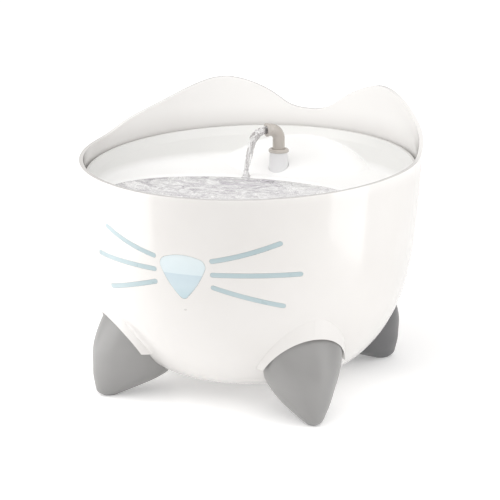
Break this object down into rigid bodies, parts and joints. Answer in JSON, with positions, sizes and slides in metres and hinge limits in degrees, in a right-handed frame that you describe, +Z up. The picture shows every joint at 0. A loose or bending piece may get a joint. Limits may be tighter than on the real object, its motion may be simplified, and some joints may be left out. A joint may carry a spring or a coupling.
{
  "type": "pet water fountain",
  "caption": "Round bowl water fountain for pets with ears, nose window and whiskers, a drop-in drinking dish with a swivelling spout, and a submerged filter pump.",
  "frame": {"origin": "on the ground below the axis of the round bowl, at the centre of its footprint", "axes": "+Z up, the face with the nose looks along -Y, +X to the right seen from the front"},
  "size_m": [0.2314, 0.2313, 0.1929],
  "materials": {
    "bowl_white": "gloss",
    "dish_white": "gloss",
    "inner_white": "satin",
    "nose_blue": "gloss, translucent",
    "whisker_blue": "satin",
    "foot_grey": "satin",
    "pad_rubber": "matte",
    "soft_rubber": "matte",
    "screw_steel": "plain",
    "frosted_white": "frosted",
    "spout_grey": "gloss",
    "clear_tube": "clear",
    "filter_grey": "satin",
    "foam": "open cell foam",
    "carbon": "granules",
    "pump_black": "satin",
    "core_steel": "laminated",
    "coil_copper": "enamelled wire",
    "potting": "resin",
    "shaft_ceramic": "ceramic",
    "magnet_ferrite": "ferrite",
    "impeller_white": "satin"
  },
  "bodies": {
    "base": {"bowl": "bowl_white", "nose_window": "nose_blue", "nose_seal": "soft_rubber", "nose_frame": "inner_white", "nose_screws": "screw_steel", "foot_screws": "screw_steel", "cable_grommet": "soft_rubber", "filter_housing": "filter_grey", "filter_lid": "filter_grey", "cartridge_frame": "inner_white", "filter_foam": "foam", "filter_media": "carbon", "pump_housing": "pump_black", "pump_base": "pump_black", "stator_core": "core_steel", "stator_coil": "coil_copper", "pump_potting": "potting", "pump_cable_gland": "soft_rubber", "inner_bush": "soft_rubber", "impeller_shaft": "shaft_ceramic", "volute_cover": "pump_black", "volute_seal": "soft_rubber", "intake_cover": "pump_black", "whisker_right_upper": "whisker_blue", "whisker_right_middle": "whisker_blue", "whisker_right_lower": "whisker_blue", "whisker_left_upper": "whisker_blue", "whisker_left_middle": "whisker_blue", "whisker_left_lower": "whisker_blue", "foot_front_right": "foot_grey", "foot_pad_front_right": "pad_rubber", "foot_front_left": "foot_grey", "foot_pad_front_left": "pad_rubber", "foot_back_right": "foot_grey", "foot_pad_back_right": "pad_rubber", "foot_back_left": "foot_grey", "foot_pad_back_left": "pad_rubber", "suction_cup_front_left": "soft_rubber", "suction_cup_front_right": "soft_rubber", "suction_cup_back_left": "soft_rubber", "suction_cup_back_right": "soft_rubber"},
    "dish": {"dish": "dish_white", "spout_pedestal": "frosted_white", "pedestal_seal": "soft_rubber", "spout_collar": "spout_grey", "riser_tube": "clear_tube", "riser_coupling": "soft_rubber"},
    "spout": {"spout_tube": "spout_grey", "spout_ring": "soft_rubber"},
    "rotor": {"rotor_magnet": "magnet_ferrite", "impeller": "impeller_white"},
    "flow_dial": {"flow_dial": "impeller_white"}
  },
  "joints": [
    {"name": "dish_lift", "type": "slide", "parent": "base", "child": "dish", "axis": [0, 0, 1], "range_m": [0, 0.15]},
    {"name": "spout_swivel", "type": "hinge", "parent": "dish", "child": "spout", "pos_m": [0, 0.052, 0.149], "axis": [0, 0, 1], "range_deg": [-45, 135]},
    {"name": "rotor_spin", "type": "hinge", "parent": "base", "child": "rotor", "pos_m": [0, 0.052, 0.0481], "axis": [0, 1, 0], "continuous": true},
    {"name": "dial_turn", "type": "hinge", "parent": "base", "child": "flow_dial", "pos_m": [0, 0.0604, 0.0481], "axis": [0, 1, 0], "range_deg": [-25, 25]}
  ]
}
